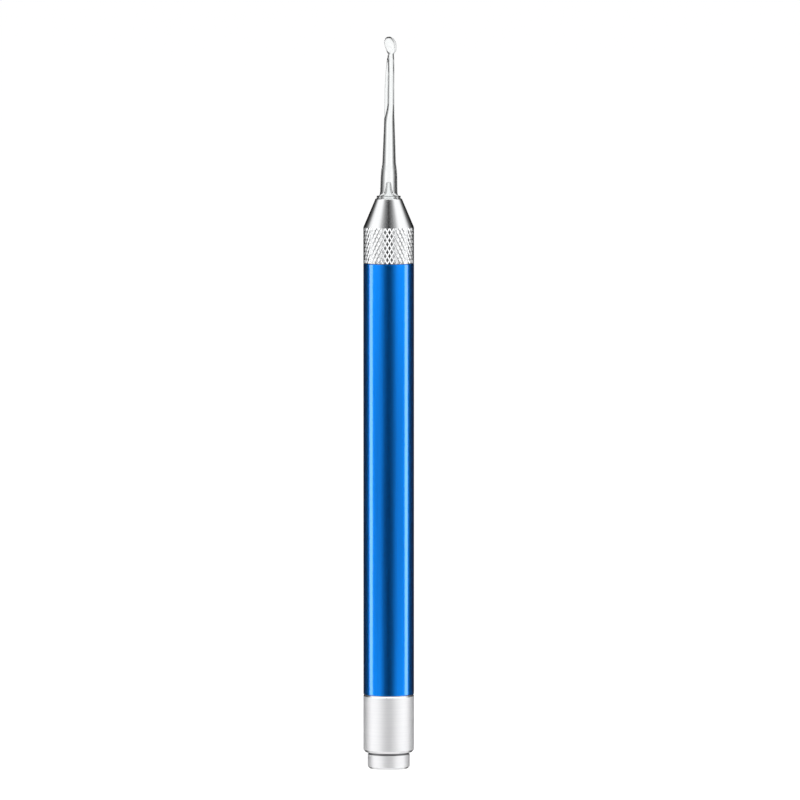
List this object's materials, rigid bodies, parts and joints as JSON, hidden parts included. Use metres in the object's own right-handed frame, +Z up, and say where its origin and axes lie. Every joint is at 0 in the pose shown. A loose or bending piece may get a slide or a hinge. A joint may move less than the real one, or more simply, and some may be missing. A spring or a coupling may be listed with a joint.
{
  "type": "lighted ear pick",
  "caption": "Pen-shaped ear pick with a clear lit spoon tip, a knurled screw-on nose, an anodised tube barrel and a push button at the tail.",
  "frame": {"origin": "on the pen's axis, in the flat end face of the tail button, which the pen stands on", "axes": "+Z up along the pen's axis to the spoon tip; -Y is the side that the picture shows, with +X to its right"},
  "size_m": [0.01, 0.01, 0.1448],
  "materials": {
    "anodised_blue": "gloss blue anodised",
    "polished_aluminium": "turned, polished, with a diamond knurl",
    "satin_aluminium": "turned, satin",
    "clear_acrylic": "clear moulded acrylic",
    "lamp_resin": "clear cast epoxy",
    "tinned_lead": "tinned wire",
    "white_nylon": "moulded",
    "black_nylon": "moulded",
    "liner_film": "smooth polyester sleeve",
    "brass": "turned",
    "rubber": "moulded",
    "nickel": "nickel plated",
    "spring_steel": "drawn wire"
  },
  "bodies": {
    "barrel": {"barrel_tube": "anodised_blue", "liner_tube": "liner_film", "button_cell_1": "nickel", "button_cell_2": "nickel", "button_cell_3": "nickel", "contact_rod": "brass", "spacer_sleeve": "white_nylon"},
    "nose_ring": {"nose_seal_ring": "rubber"},
    "nose": {"nose_cone": "polished_aluminium", "led_lens": "lamp_resin", "led_anode_lead": "tinned_lead", "led_cathode_lead": "tinned_lead", "led_holder": "white_nylon", "front_contact": "brass"},
    "tip": {"ear_spoon_tip": "clear_acrylic"},
    "tail_ring": {"tail_seal_ring": "rubber"},
    "tail": {"tail_cap": "satin_aluminium", "switch_housing": "black_nylon", "switch_cover": "white_nylon", "centre_contact": "brass", "return_spring": "spring_steel", "battery_spring": "spring_steel"},
    "button": {"tail_button": "satin_aluminium", "switch_plunger": "black_nylon", "moving_contact": "brass"}
  },
  "joints": [
    {"name": "nose_rise", "type": "slide", "parent": "barrel", "child": "nose_ring", "axis": [0, 0, 1], "range_m": [0, 0.00525]},
    {"name": "nose_screw", "type": "hinge", "parent": "nose_ring", "child": "nose", "pos_m": [0, 0, 0.10015], "axis": [0, 0, 1], "range_deg": [0, 2520]},
    {"name": "tip_pull", "type": "slide", "parent": "nose", "child": "tip", "axis": [0, 0, 1], "range_m": [0, 0.007]},
    {"name": "tail_drop", "type": "slide", "parent": "barrel", "child": "tail_ring", "axis": [0, 0, -1], "range_m": [0, 0.00525]},
    {"name": "tail_screw", "type": "hinge", "parent": "tail_ring", "child": "tail", "pos_m": [0, 0, 0.01465], "axis": [0, 0, -1], "range_deg": [0, 2520]},
    {"name": "button_push", "type": "slide", "parent": "tail", "child": "button", "axis": [0, 0, 1], "range_m": [0, 0.0012], "stiffness_N_per_m": 1500, "springref_m": -0.001, "deforming": ["return_spring"]}
  ],
  "couplings": [
    {"joint": "nose_screw", "follows": "nose_rise", "rad_per_m": 8377.6},
    {"joint": "tail_screw", "follows": "tail_drop", "rad_per_m": 8377.6}
  ]
}
